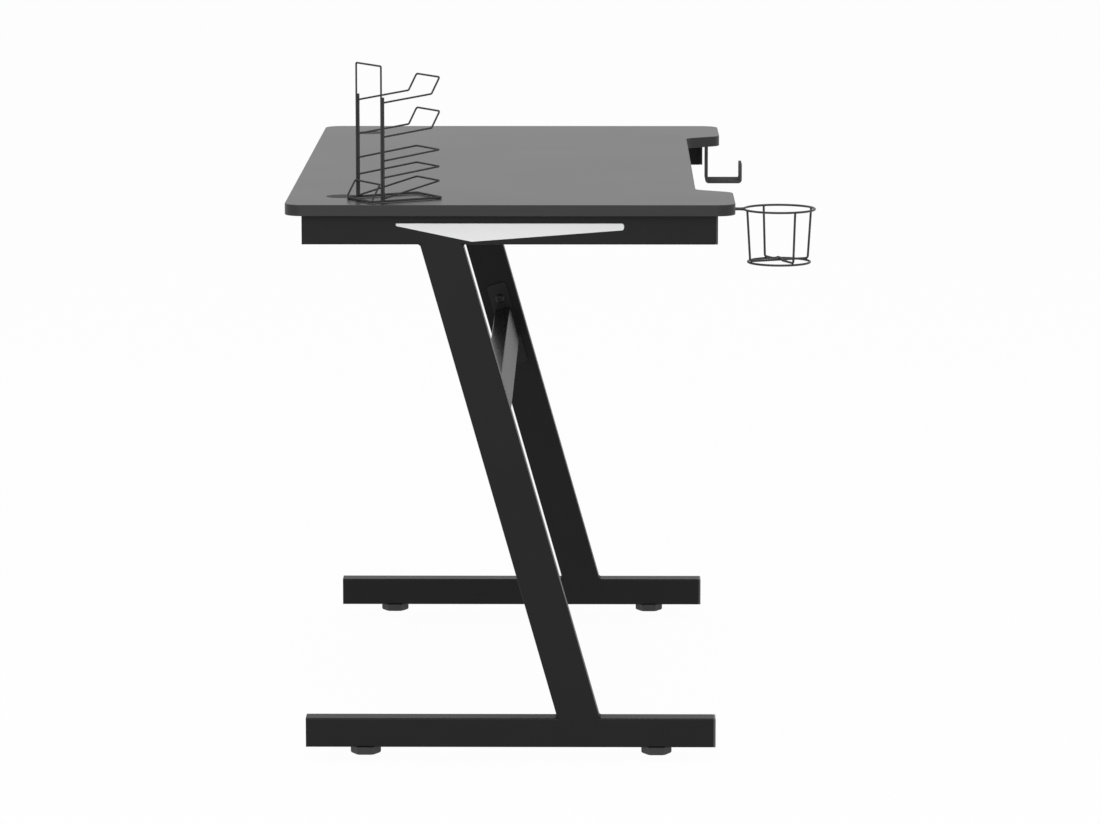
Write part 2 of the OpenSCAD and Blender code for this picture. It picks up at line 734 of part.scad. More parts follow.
module insert_hole(d, l) {
    cylinder(d = d + 4 * thread_gap + 2 * insert_wall, h = l);
}

// Flat-bottomed screw along +Z with a domed head below z = 0
module screw(l) {
    difference() {
        rotate_extrude() polygon([
            [0, -screw_head_h], [screw_head_d / 2 * crown_share, -screw_head_h],
            [screw_head_d / 2, -screw_head_h * rim_share],
            [screw_head_d / 2, 0], [screw_d / 2, 0], [screw_d / 2, l - screw_d / 2], [0, l]
        ]);
        translate([0, 0, -screw_head_h - cut])
            cylinder(d = screw_d * key_share, h = screw_head_h * key_depth_share + cut, $fn = 6);
    }
}

// Works in the crossbar's own directions: y square to its face, z along the legs
module on_slope() {
    translate([0, crossbar_y, crossbar_z]) rotate([-leg_angle, 0, 0]) children();
}

// Puts children at the two bolts of one end plate, on the leg's inner face, with z into the leg
module crossbar_bolt_places(side) {
    on_slope() for (s = [-1, 1]) translate([side * inner_face_x, 0, s * crossbar_bolt_pitch / 2])
        rotate([0, side * 90, 0]) children();
}

module crossbar() color(crossbar_c) on_floor() {
    half = inner_face_x - crossbar_plate_t;
    on_slope() translate([-half, 0, 0]) rotate([90, 0, 90])
        linear_extrude(2 * half) box_section(crossbar_t, crossbar_h, tube_wall, tube_r);
}

module crossbar_plate(side) color(crossbar_c) on_floor() {
    difference() {
        on_slope() translate([side > 0 ? inner_face_x - crossbar_plate_t : -inner_face_x, 0, 0])
            rotate([90, 0, 90]) linear_extrude(crossbar_plate_t)
                rounded_rect(crossbar_plate_w, crossbar_plate_l, plate_r);
        crossbar_bolt_places(side) translate([0, 0, -crossbar_plate_t - cut])
            cylinder(d = big_bolt_d + 2 * hole_gap, h = crossbar_plate_t + 2 * cut);
    }
}

module crossbar_bolts() color(zinc_c) on_floor() {
    for (side = [left, right]) crossbar_bolt_places(side)
        translate([0, 0, -crossbar_plate_t]) bolt(big_bolt_d, crossbar_bolt_l);
}

module stretcher(y) color(steel_c) on_floor() {
    half = inner_face_x - bracket_t;
    difference() {
        translate([-half, y, top_z - stretcher_h / 2]) rotate([90, 0, 90])
            linear_extrude(2 * half) box_section(stretcher_w, stretcher_h, tube_wall, tube_r);
        for (p = frame_screws) if (p.y == y && abs(p.x) < half) {
            translate([p.x, y, top_z - tube_wall - cut])
                cylinder(d = screw_d + 2 * hole_gap, h = tube_wall + 2 * cut);
            translate([p.x, y, top_z - stretcher_h - cut]) cylinder(d = access_d, h = tube_wall + 2 * cut);
        }
    }
}

// Puts children at the two bolts of one stretcher's end plate, on the rail's inner face, z into the rail
module bracket_bolt_places(side, y) {
    for (s = [-1, 1]) translate([side * inner_face_x, y + s * bracket_bolt_pitch / 2, bracket_z])
        rotate([0, side * 90, 0]) children();
}

module stretcher_brackets() color(steel_c) on_floor() {
    for (side = [left, right], y = stretcher_ys) difference() {
        translate([side > 0 ? inner_face_x - bracket_t : -inner_face_x, y, bracket_z])
            rotate([90, 0, 90]) linear_extrude(bracket_t) rounded_rect(bracket_w, bracket_h, plate_r);
        bracket_bolt_places(side, y) translate([0, 0, -bracket_t - cut])
            cylinder(d = small_bolt_d + 2 * hole_gap, h = bracket_t + 2 * cut);
    }
}

module stretcher_bolts() color(zinc_c) on_floor() {
    for (side = [left, right], y = stretcher_ys) bracket_bolt_places(side, y)
        translate([0, 0, -bracket_t]) bolt(small_bolt_d, bracket_bolt_l);
}

module insert_nuts() color(zinc_c) on_floor() {
    for (side = [left, right]) {
        crossbar_bolt_places(side) insert_nut(big_bolt_d);
        for (y = stretcher_ys) bracket_bolt_places(side, y) insert_nut(small_bolt_d);
    }
}

module worktop_screws() color(zinc_c) on_floor() {
    for (p = frame_screws) translate([p.x, p.y, top_z - tube_wall]) screw(tube_wall + screw_bite);
}

module accessory_screws() color(zinc_c) on_floor() {
    for (p = hook_screws) translate([p.x, p.y, top_z - hook_t]) screw(hook_t + screw_bite);
    for (p = saddle_screws) translate([p.x, p.y, top_z - saddle_t]) screw(saddle_t + screw_bite);
}

// A quarter of a bend in the strip, its outer side towards -x -y
module hook_bend() {
    intersection() {
        difference() {
            circle(hook_bend_r);
            circle(hook_bend_r - hook_t);
        }
        translate([-hook_bend_r - cut, -hook_bend_r - cut]) square(hook_bend_r + cut);
    }
}

// Side view of the hook, front to the left, seen from the desk's right
module hook_profile() {
    floor_z = top_z - hook_drop;
    drop_y = hook_y - hook_t;
    tip_y = hook_y - hook_reach;
    r = hook_bend_r;
    translate([drop_y + r, top_z - hook_t]) square([hook_flange_l - r, hook_t]);
    translate([drop_y + r, top_z - r]) mirror([0, 1]) hook_bend();
    translate([drop_y, floor_z + r]) square([hook_t, hook_drop - 2 * r]);
    translate([hook_y - r, floor_z + r]) mirror([1, 0]) hook_bend();
    translate([tip_y + r, floor_z]) square([hook_reach - 2 * r, hook_t]);
    translate([tip_y + r, floor_z + r]) hook_bend();
}

module headphone_hook() color(steel_c) on_floor() {
    lip_z = top_z - hook_drop + hook_bend_r;
    lip_h = hook_lip - hook_bend_r;
    difference() {
        union() {
            translate([hook_x - hook_w / 2, 0, 0]) rotate([90, 0, 90]) linear_extrude(hook_w) hook_profile();
            // The lip has rounded upper corners
            translate([hook_x, hook_y - hook_reach + hook_t, lip_z]) rotate([90, 0, 0])
                linear_extrude(hook_t) {
                    translate([-hook_w / 2, 0]) square([hook_w, lip_h - hook_lip_r]);
                    translate([-hook_w / 2 + hook_lip_r, 0]) square([hook_w - 2 * hook_lip_r, lip_h]);
                    for (s = [-1, 1]) translate([s * (hook_w / 2 - hook_lip_r), lip_h - hook_lip_r])
                        circle(hook_lip_r);
                }
        }
        for (p = hook_screws) translate([p.x, p.y, top_z - hook_t - cut])
            cylinder(d = screw_d + 2 * hole_gap, h = hook_t + 2 * cut);
    }
}

module at_cup() {
    translate([cup_x, cup_y, 0]) children();
}

module cup_top_ring() color(wire_c) on_floor() at_cup() {
    lap_angle = lap / cup_ring_r * 180 / PI;
    translate([0, 0, cup_ring_z]) {
        rotate(90 + stem_open - lap_angle) rotate_extrude(angle = 360 - 2 * stem_open + 2 * lap_angle)
            translate([cup_ring_r, 0]) circle(d = cup_wire_d);
        for (s = [0, 1]) mirror([s, 0, 0]) {
            translate([stem_bend_x, stem_bend_y, 0]) rotate(180) rotate_extrude(angle = 90 - stem_open)
                translate([stem_bend_r, 0]) circle(d = cup_wire_d + 2 * swell);
            translate([stem_pitch / 2, stem_bend_y - lap, 0]) rotate([-90, 0, 0])
                cylinder(d = cup_wire_d, h = stem_end_y - stem_bend_y + lap);
        }
    }
}

module cup_foot_ring() color(wire_c) on_floor() at_cup() {
    translate([0, 0, cup_foot_z]) rod_ring(cup_foot_r, cup_wire_d);
}

// Corner and top of a wire of the basket, on one side of the middle
function cup_wire_side(s) = [
    [s * cup_ring_r, 0, cup_ring_z - cup_wire_d / 2 - weld_gap],
    [s * cup_corner_r, 0, cup_floor_z]
];

module cup_lower_wire() color(wire_c) on_floor() at_cup() {
    outer = cup_wire_side(-1);
    inner = cup_wire_side(1);
    rotate(cup_turn + 90) bent_rod([outer[0], outer[1], inner[1], inner[0]], cup_wire_d, cup_bend_r);
}

// The second wire humps over the first where they cross
module cup_upper_wire() color(wire_c) on_floor() at_cup() {
    outer = cup_wire_side(-1);
    inner = cup_wire_side(1);
    hump = [for (s = [[-1, 1], [-1, 0], [1, 0], [1, 1]])
        [s.x * (hump_flat + s.y * hump_run), 0, cup_floor_z + (1 - s.y) * hump_h]];
    rotate(cup_turn) bent_rod(concat([outer[0], outer[1]], hump, [inner[1], inner[0]]),
        cup_wire_d, cup_bend_r);
}

// Pressed saddle: two flanges against the worktop and a channel for the stems
module cup_saddle() color(steel_c) on_floor() {
    channel_z = cup_ring_z - cup_wire_d / 2 - weld_gap;
    wing = saddle_half + saddle_flange;
    difference() {
        translate([cup_x, cup_y + saddle_y + saddle_l, 0]) rotate([90, 0, 0]) linear_extrude(saddle_l) {
            translate([-saddle_half, channel_z - saddle_t]) square([2 * saddle_half, saddle_t]);
            for (s = [0, 1]) mirror([s, 0]) {
                translate([saddle_half - saddle_t, channel_z - saddle_t])
                    square([saddle_t, top_z - channel_z + saddle_t]);
                translate([saddle_half - saddle_t, top_z - saddle_t])
                    square([wing - saddle_half + saddle_t, saddle_t]);
            }
        }
        for (p = saddle_screws) translate([p.x, p.y, top_z - saddle_t - cut])
            cylinder(d = screw_d + 2 * hole_gap, h = saddle_t + 2 * cut);
    }
}

module on_worktop() {
    on_floor() translate([rack_x, rack_y, desk_h + rack_seat]) rotate(rack_turn - 90) children();
}

module rack_foot_frame() color(wire_c) on_worktop() {
    bent_rod([for (p = [[-1, -1], [1, -1], [1, 1], [-1, 1]])
        [p.x > 0 ? rack_front_l : -rack_rear_l, p.y * rack_half, rod_d / 2]], rod_d, foot_frame_r, true);
}

// The rack faces the user, so its left upright lies towards -y of its own directions
module rack_upright(side) color(wire_c) on_worktop() {
    translate([0, side * rack_half, rod_top]) cylinder(d = rod_d, h = upright_top - rod_top);
}

module rack_hoop() color(wire_c) on_worktop() {
    bent_rod([for (p = [[-1, 0], [-1, 1], [1, 1], [1, 0]])
        [hoop_x, p.x * rack_half, p.y > 0 ? hoop_top : rod_top]], wire_d, hoop_r);
}

// Wire that runs out along one side through the given points [x, z] and back along the other
module side_to_side(points, half) {
    last = len(points) - 1;
    bent_rod(concat([for (i = [0 : last]) [points[i].x, -half, points[i].y]],
        [for (i = [last : -1 : 0]) [points[i].x, half, points[i].y]]), wire_d, wire_r);
}

module rack_cradle(z) color(wire_c) on_worktop() {
    side_to_side([[-rod_d / 2, z], [cradle_reach, z + cradle_rise],
        [cradle_reach + cradle_tip_l, z + cradle_rise + cradle_tip_rise]], arm_half);
}

module rack_shelf(z, rise) color(wire_c) on_worktop() {
    side_to_side([[-rod_d / 2, z], [shelf_reach, z + rise]], arm_half);
}

module rack_brace() color(wire_c) on_worktop() {
    side_to_side([[-rack_rear_l + rod_d / 2, rod_d + wire_d / 2], [brace_x, brace_z]], rack_half);
}

worktop();
worktop_edging();
cable_cap(left);  // left_cable_cap
cable_cap(right);  // right_cable_cap
top_rail(left);  // left_top_rail
leg(left);  // left_leg
foot_rail(left);  // left_foot_rail
top_rail(right);  // right_top_rail
leg(right);  // right_leg
foot_rail(right);  // right_foot_rail
front_cap(left, top_rail_z, dark_cap_c);  // left_top_front_cap
rear_cap(left, top_rail_z, dark_cap_c);  // left_top_rear_cap
front_cap(left, foot_rail_z, cap_c);  // left_foot_front_cap
rear_cap(left, foot_rail_z, dark_cap_c);  // left_foot_rear_cap
front_cap(right, top_rail_z, dark_cap_c);  // right_top_front_cap
rear_cap(right, top_rail_z, dark_cap_c);  // right_top_rear_cap
front_cap(right, foot_rail_z, cap_c);  // right_foot_front_cap
rear_cap(right, foot_rail_z, dark_cap_c);  // right_foot_rear_cap
inlay(left);  // left_inlay
inlay(right);  // right_inlay
pad(left, front);  // left_front_pad
pad(left, rear);  // left_rear_pad
pad(right, front);  // right_front_pad
pad(right, rear);  // right_rear_pad
stud(left, front);  // left_front_stud
stud(left, rear);  // left_rear_stud
stud(right, front);  // right_front_stud
stud(right, rear);  // right_rear_stud
glide_nuts();
crossbar();
crossbar_plate(left);  // left_crossbar_plate
crossbar_plate(right);  // right_crossbar_plate
crossbar_bolts();
stretcher(stretcher_ys[0]);  // front_stretcher
stretcher(stretcher_ys[1]);  // rear_stretcher
stretcher_brackets();
stretcher_bolts();
insert_nuts();
worktop_screws();
accessory_screws();
headphone_hook();
cup_top_ring();
cup_foot_ring();
cup_lower_wire();
cup_upper_wire();
cup_saddle();
rack_foot_frame();
rack_upright(left);  // rack_left_upright
rack_upright(right);  // rack_right_upright
rack_hoop();
rack_cradle(upper_cradle_z);  // rack_upper_cradle
rack_cradle(lower_cradle_z);  // rack_lower_cradle
rack_shelf(upper_shelf_z, shelf_rise);  // rack_upper_shelf
rack_shelf(middle_shelf_z, shelf_rise);  // rack_middle_shelf
rack_shelf(lower_shelf_z, lower_shelf_rise);  // rack_lower_shelf
rack_brace();
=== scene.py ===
import json
import math
import random

import bmesh
import bpy
from mathutils import Matrix, Vector


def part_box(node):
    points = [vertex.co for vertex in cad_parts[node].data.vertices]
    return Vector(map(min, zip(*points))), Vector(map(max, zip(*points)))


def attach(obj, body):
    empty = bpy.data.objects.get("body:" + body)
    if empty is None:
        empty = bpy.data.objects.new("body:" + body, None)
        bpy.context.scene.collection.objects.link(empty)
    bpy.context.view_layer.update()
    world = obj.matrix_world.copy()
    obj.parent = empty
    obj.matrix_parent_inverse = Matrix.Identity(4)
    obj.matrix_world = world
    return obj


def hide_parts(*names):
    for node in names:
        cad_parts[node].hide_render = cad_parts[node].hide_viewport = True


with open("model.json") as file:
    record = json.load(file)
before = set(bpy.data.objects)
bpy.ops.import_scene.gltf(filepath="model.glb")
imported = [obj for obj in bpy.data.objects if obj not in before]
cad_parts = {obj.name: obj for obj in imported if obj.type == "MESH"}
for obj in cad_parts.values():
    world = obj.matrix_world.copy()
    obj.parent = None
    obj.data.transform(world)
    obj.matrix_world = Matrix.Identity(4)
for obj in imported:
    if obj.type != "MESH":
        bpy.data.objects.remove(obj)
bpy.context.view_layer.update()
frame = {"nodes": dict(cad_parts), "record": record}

nodes = frame["nodes"]


# Camera: it stands beyond the left end of the desk and looks along it
camera = {
    "spot": (-7.002, -0.05998, 1.5052),
    "turn": (80.9395, 0.035, -89.4583),  # degrees
    "lens": 160.83,
    "sensor": 36.0,
}


def placeCamera(look):
    data = bpy.data.cameras.new("view")
    data.sensor_width = look["sensor"]
    data.lens = look["lens"]
    eye = bpy.data.objects.new("view", data)
    eye.location = look["spot"]
    eye.rotation_euler = [math.radians(a) for a in look["turn"]]
    bpy.context.scene.collection.objects.link(eye)
    bpy.context.scene.camera = eye


placeCamera(camera)
bpy.context.scene.view_settings.view_transform = "Standard"
print("camera placed")


# Shader maths: sums on these write their own nodes
class Flow:
    def __init__(self, paint, socket):
        self.paint = paint
        self.socket = socket

    def work(self, operation, first, second):
        pair = [first, second]
        if all(not isinstance(v, Flow) or v.socket.type == "VALUE" for v in pair):
            kind = "ShaderNodeMath"
        else:
            kind = "ShaderNodeVectorMath"
            pair = [v if isinstance(v, (Flow, tuple)) else (v, v, v) for v in pair]
        return self.paint.add(kind, {"operation": operation}, dict(enumerate(pair)))

    def __add__(self, other):
        return self.work("ADD", self, other)

    def __radd__(self, other):
        return self.work("ADD", other, self)

    def __sub__(self, other):
        return self.work("SUBTRACT", self, other)

    def __rsub__(self, other):
        return self.work("SUBTRACT", other, self)

    def __mul__(self, other):
        return self.work("MULTIPLY", self, other)

    def __rmul__(self, other):
        return self.work("MULTIPLY", other, self)


class Paint:
    def __init__(self, tree):
        self.tree = tree
        tree.nodes.clear()

    # Any node: its settings first, then its sockets' values or links
    def add(self, kind, settings, sockets, result=0):
        node = self.tree.nodes.new(kind)
        for name, value in settings.items():
            setattr(node, name, value)
        for name, value in sockets.items():
            if isinstance(value, Flow):
                self.tree.links.new(value.socket, node.inputs[name])
            else:
                node.inputs[name].default_value = value
        return Flow(self, node.outputs[result]) if node.outputs else node

    def place(self, stretch=(1, 1, 1)):
        spot = self.add("ShaderNodeTexCoord", {}, {}, "Object")
        return spot if stretch == (1, 1, 1) else spot * stretch

    def noise(self, size, detail=2.0, stretch=(1, 1, 1)):
        sockets = {"Vector": self.place(stretch), "Scale": 1 / size, "Detail": detail}
        return self.add("ShaderNodeTexNoise", {}, sockets)

    # Sockets 6 and 7 are the Mix node's two colours, and its result 2 is the mixed one
    def tint(self, amount, low, high):
        return self.add("ShaderNodeMix", {"data_type": "RGBA"}, {0: amount, 6: (*low, 1), 7: (*high, 1)}, 2)

    def bump(self, height, depth):
        return self.add("ShaderNodeBump", {}, {"Height": height, "Distance": depth})

    # A colour that wanders by a share to either side of its middle
    def around(self, amount, colour, spread):
        low = tuple((1 - spread) * c for c in colour)
        high = tuple((1 + spread) * c for c in colour)
        return self.tint(amount, low, high)

    def surface(self, **sockets):
        named = {name.replace("_", " "): value for name, value in sockets.items()}
        shader = self.add("ShaderNodeBsdfPrincipled", {}, named)
        self.add("ShaderNodeOutputMaterial", {}, {"Surface": shader})


def newPaint(name):
    material = bpy.data.materials.new(name)
    material.use_nodes = True
    return material, Paint(material.node_tree)


# Light: a white room, a broad lamp overhead and a soft one from the near left
room = {
    "shown": 1.0,
    "ambient": 0.55,
    "floorSpan": 60.0,
    "floorZ": -0.0101,  # just under the pads when the glides are screwed right out
    "floorWhite": 0.965,
    "floorDiffuse": 0.88,
}
lamps = {
    "overhead": {"at": (-0.4, 0.0, 3.3), "towards": (0, 0, 0.7), "size": (3.4, 3.0), "watts": 44.0},
    "nearLeft": {"at": (-3.6, 0.5, 1.9), "towards": (-0.3, 0, 0.5), "size": (2.2, 2.0), "watts": 41.0},
}


# 1 for what the camera sees, straight or by way of a shiny or clear piece
def seenDirectly(paint):
    camera, glossy, clear = [paint.add("ShaderNodeLightPath", {}, {}, ray)
                             for ray in ("Is Camera Ray", "Is Glossy Ray", "Is Transmission Ray")]
    return camera + glossy + clear


def makeRoom(look):
    world = bpy.data.worlds.new("room")
    world.use_nodes = True
    bpy.context.scene.world = world
    air = Paint(world.node_tree)
    shown = air.add("ShaderNodeBackground", {}, {"Color": (1, 1, 1, 1), "Strength": look["shown"]})
    dim = air.add("ShaderNodeBackground", {}, {"Color": (1, 1, 1, 1), "Strength": look["ambient"]})
    both = air.add("ShaderNodeMixShader", {}, {0: seenDirectly(air), 1: dim, 2: shown})
    air.add("ShaderNodeOutputWorld", {}, {"Surface": both})

    material, paint = newPaint("floorWhite")
    white = paint.add("ShaderNodeEmission", {}, {"Color": (1, 1, 1, 1), "Strength": look["shown"]})
    paper = paint.add("ShaderNodeBsdfDiffuse", {}, {"Color": (*[look["floorDiffuse"]] * 3, 1)})
    share = seenDirectly(paint) * look["floorWhite"]
    both = paint.add("ShaderNodeMixShader", {}, {0: share, 1: paper, 2: white})
    paint.add("ShaderNodeOutputMaterial", {}, {"Surface": both})
    half = look["floorSpan"] / 2
    corners = [(x * half, y * half, look["floorZ"]) for x, y in ((-1, -1), (1, -1), (1, 1), (-1, 1))]
    mesh = bpy.data.meshes.new("floor")
    mesh.from_pydata(corners, [], [(0, 1, 2, 3)])
    mesh.materials.append(material)
    floor = bpy.data.objects.new("floor", mesh)
    bpy.context.scene.collection.objects.link(floor)


def hangLamp(name, look):
    data = bpy.data.lights.new(name, "AREA")
    data.shape = "RECTANGLE"
    data.size, data.size_y = look["size"]
    data.energy = look["watts"]
    lamp = bpy.data.objects.new(name, data)
    lamp.location = look["at"]
    way = Vector(look["towards"]) - Vector(look["at"])
    lamp.rotation_euler = way.to_track_quat("-Z", "Y").to_euler()
    bpy.context.scene.collection.objects.link(lamp)


makeRoom(room)
for name, look in lamps.items():
    hangLamp(name, look)
print("room lit")


# Finishes, one for each material slot of the record, and two for single pieces. Sizes are in metres
laminate = {
    "dark": (0.018, 0.018, 0.0185), "light": (0.024, 0.024, 0.0245),
    "roughness": 0.31, "wobble": 0.03, "specular": 0.092,
    "cloud": 0.16, "pore": 0.0007, "detail": 3.0, "depth": 0.000004,
}
edging = {
    "dark": (0.0145, 0.0145, 0.015), "light": (0.0195, 0.0195, 0.02),
    "roughness": 0.42, "wobble": 0.08, "specular": 0.34,
    "streak": 0.0016, "detail": 2.0, "along": (0.02, 0.02, 1), "depth": 0.000006,
}
powderCoat = {
    "blackSteel": {"colour": (0.0085, 0.0085, 0.009), "roughness": 0.45, "pebble": 0.0009, "depth": 0.000012,
                   "specular": 0.17},
    "blackCrossbar": {"colour": (0.008, 0.008, 0.0085), "roughness": 0.6, "pebble": 0.0009, "depth": 0.000008,
                      "specular": 0.0, "coat": 0.46, "coatRoughness": 0.26},
    "blackWire": {"colour": (0.028, 0.028, 0.0285), "roughness": 0.42, "pebble": 0.0012, "depth": 0.000003,
                  "specular": 0.3},
    "blackRack": {"colour": (0.052, 0.052, 0.0525), "roughness": 0.55, "pebble": 0.0012, "depth": 0.000003,
                  "specular": 0.03},
    "blackHook": {"colour": (0.075, 0.075, 0.076), "roughness": 0.7, "pebble": 0.0009, "depth": 0.000008,
                  "specular": 0.02},
    "blackBolt": {"colour": (0.012, 0.012, 0.0125), "roughness": 0.36, "pebble": 0.0008, "depth": 0.000004,
                  "specular": 0.25},
}
coatGrain = {
    "detail": 1.5, "cloud": 0.09, "cloudDetail": 2.0, "spread": 0.2, "wobble": 0.1, "coatRoughness": 0.3,
}
moulded = {
    "greyCap": {"colour": (0.075, 0.075, 0.077), "roughness": 0.4, "grain": 0.0005, "depth": 0.00001,
                "specular": 0.35},
    "blackCap": {"colour": (0.035, 0.035, 0.036), "roughness": 0.4, "grain": 0.0005, "depth": 0.00001,
                 "specular": 0.35},
    "cableCap": {"colour": (0.010, 0.010, 0.0103), "roughness": 0.58, "grain": 0.0006, "depth": 0.00003,
                 "specular": 0.12},
    "padPlastic": {"colour": (0.030, 0.030, 0.031), "roughness": 0.55, "grain": 0.0006, "depth": 0.000015,
                   "specular": 0.35},
}
mouldGrain = {"detail": 2.0, "cloud": 0.03, "spread": 0.15, "wobble": 0.08}
whiteInlay = {
    "low": (0.76, 0.76, 0.77), "high": (0.82, 0.82, 0.825),
    "roughness": 0.36, "wobble": 0.06, "specular": 0.4,
    "flow": 0.02, "along": (1, 0.25, 1), "grain": 0.0009, "detail": 2.0, "depth": 0.000006,
}
zinc = {
    "low": (0.46, 0.47, 0.49), "high": (0.62, 0.63, 0.64),
    "roughness": 0.34, "wobble": 0.14,
    "spangle": 0.0035, "grain": 0.0006, "detail": 2.0, "depth": 0.000006,
}


def makeLaminate(look):
    material, paint = newPaint("blackLaminate")
    cloud = paint.noise(look["cloud"], look["detail"])
    pore = paint.noise(look["pore"], look["detail"])
    paint.surface(
        Base_Color=paint.tint(cloud, look["dark"], look["light"]),
        Roughness=look["roughness"] + (cloud - 0.5) * look["wobble"],
        Specular_IOR_Level=look["specular"],
        Normal=paint.bump(pore, look["depth"]),
    )
    return material


def makeEdging(look):
    material, paint = newPaint("blackEdging")
    streak = paint.noise(look["streak"], look["detail"], look["along"])
    paint.surface(
        Base_Color=paint.tint(streak, look["dark"], look["light"]),
        Roughness=look["roughness"] + (streak - 0.5) * look["wobble"],
        Specular_IOR_Level=look["specular"],
        Normal=paint.bump(streak, look["depth"]),
    )
    return material


def makePowderCoat(name, look, grain=coatGrain):
    material, paint = newPaint(name)
    pebble = paint.noise(look["pebble"], grain["detail"])
    cloud = paint.noise(grain["cloud"], grain["cloudDetail"])
    paint.surface(
        Base_Color=paint.around(cloud, look["colour"], grain["spread"]),
        Roughness=look["roughness"] + (pebble - 0.5) * grain["wobble"],
        Specular_IOR_Level=look["specular"],
        Coat_Weight=look.get("coat", 0.0),
        Coat_Roughness=look.get("coatRoughness", grain["coatRoughness"]),
        Normal=paint.bump(pebble, look["depth"]),
    )
    return material


def makeMoulded(name, look, mould=mouldGrain):
    material, paint = newPaint(name)
    grain = paint.noise(look["grain"], mould["detail"])
    cloud = paint.noise(mould["cloud"], mould["detail"])
    paint.surface(
        Base_Color=paint.around(cloud, look["colour"], mould["spread"]),
        Roughness=look["roughness"] + (cloud - 0.5) * mould["wobble"],
        Specular_IOR_Level=look["specular"],
        Normal=paint.bump(grain, look["depth"]),
    )
    return material


def makeInlay(look):
    material, paint = newPaint("whiteInlay")
    flow = paint.noise(look["flow"], look["detail"], look["along"])
    grain = paint.noise(look["grain"], look["detail"])
    paint.surface(
        Base_Color=paint.tint(flow, look["low"], look["high"]),
        Roughness=look["roughness"] + (flow - 0.5) * look["wobble"],
        Specular_IOR_Level=look["specular"],
        Normal=paint.bump(grain, look["depth"]),
    )
    return material


def makeZinc(look):
    material, paint = newPaint("zincSteel")
    sockets = {"Vector": paint.place(), "Scale": 1 / look["spangle"]}
    spangle = paint.add("ShaderNodeTexVoronoi", {}, sockets, "Color")
    shade = paint.add("ShaderNodeRGBToBW", {}, {"Color": spangle})
    grain = paint.noise(look["grain"], look["detail"])
    paint.surface(
        Base_Color=paint.tint(shade, look["low"], look["high"]),
        Metallic=1.0,
        Roughness=look["roughness"] + (shade - 0.5) * look["wobble"],
        Normal=paint.bump(grain, look["depth"]),
    )
    return material


finishes = {
    "black_laminate": makeLaminate(laminate),
    "black_edging": makeEdging(edging),
    "black_steel": makePowderCoat("blackSteel", powderCoat["blackSteel"]),
    "black_crossbar": makePowderCoat("blackCrossbar", powderCoat["blackCrossbar"]),
    "black_wire": makePowderCoat("blackWire", powderCoat["blackWire"]),
    "black_bolt": makePowderCoat("blackBolt", powderCoat["blackBolt"]),
    "cable_cap_plastic": makeMoulded("cableCap", moulded["cableCap"]),
    "white_inlay": makeInlay(whiteInlay),
    "grey_cap": makeMoulded("greyCap", moulded["greyCap"]),
    "black_cap": makeMoulded("blackCap", moulded["blackCap"]),
    "pad_plastic": makeMoulded("padPlastic", moulded["padPlastic"]),
    "zinc_steel": makeZinc(zinc),
}
rackCoat = makePowderCoat("blackRack", powderCoat["blackRack"])
hookCoat = makePowderCoat("blackHook", powderCoat["blackHook"])
for part in frame["record"]["subparts"]:
    finish = finishes[part["material_slot"]]
    if part["node"].startswith("rack_"):
        finish = rackCoat
    if part["node"] == "headphone_hook":
        finish = hookCoat
    mesh = nodes[part["node"]].data
    mesh.materials.clear()
    mesh.materials.append(finish)
print("finishes made")


def makePiece(name, points, faces, slot, body, smooth=True):
    mesh = bpy.data.meshes.new(name)
    mesh.from_pydata([tuple(p) for p in points], [], faces)
    mesh.materials.append(finishes[slot])
    for face in mesh.polygons:
        face.use_smooth = smooth
    mesh.update()
    piece = bpy.data.objects.new(name, mesh)
    bpy.context.scene.collection.objects.link(piece)
    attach(piece, body)
    return piece


# Faces between rows of points, each row a closed ring
def tube(rows, ringSize, shift=0):
    return [(shift + i * ringSize + j, shift + i * ringSize + (j + 1) % ringSize,
             shift + (i + 1) * ringSize + (j + 1) % ringSize, shift + (i + 1) * ringSize + j)
            for i in range(rows - 1) for j in range(ringSize)]


# Weld seams: rippled beads across the front and rear of each leg, at its head and foot
seams = {
    "sideX": 0.493, "middleY": 0.055225, "lean": 0.183, "headZ": 0.695, "footZ": 0.050, "legWide": 0.055,
    "long": 0.0262, "size": 0.0021, "ripple": 0.0012, "depth": 0.1,
    "steps": 66, "arc": 9, "ends": 4, "tip": 0.02, "belly": 0.1, "lag": 0.5, "root": 0.15,
}


def addBead(points, faces, start, along, first, second, look):
    steps, arc = look["steps"], look["arc"]
    base = len(points)
    for i in range(steps):
        s = i / (steps - 1)
        swell = math.sin(math.pi * min(1, max(look["tip"], look["ends"] * min(s, 1 - s)) / 2)) ** 0.5
        ripple = 1 + look["depth"] * (1 - ((s * look["long"] / look["ripple"]) % 1)) - look["depth"] / 2
        for j in range(arc):
            turn = math.pi / 2 * j / (arc - 1)
            bow = math.sin(2 * turn)
            size = look["size"] * swell * (1 + look["belly"] * bow * ripple)
            lag = look["ripple"] * look["lag"] * bow
            points.append(start + along * (s * look["long"] - lag)
                          + (first * math.cos(turn) + second * math.sin(turn)) * size * ripple)
        points.append(start + along * s * look["long"] - (first + second) * look["size"] * look["root"])
    faces += tube(steps, arc + 1, base)
    faces.append(tuple(base + j for j in range(arc + 1)))
    faces.append(tuple(base + (steps - 1) * (arc + 1) + j for j in reversed(range(arc + 1))))


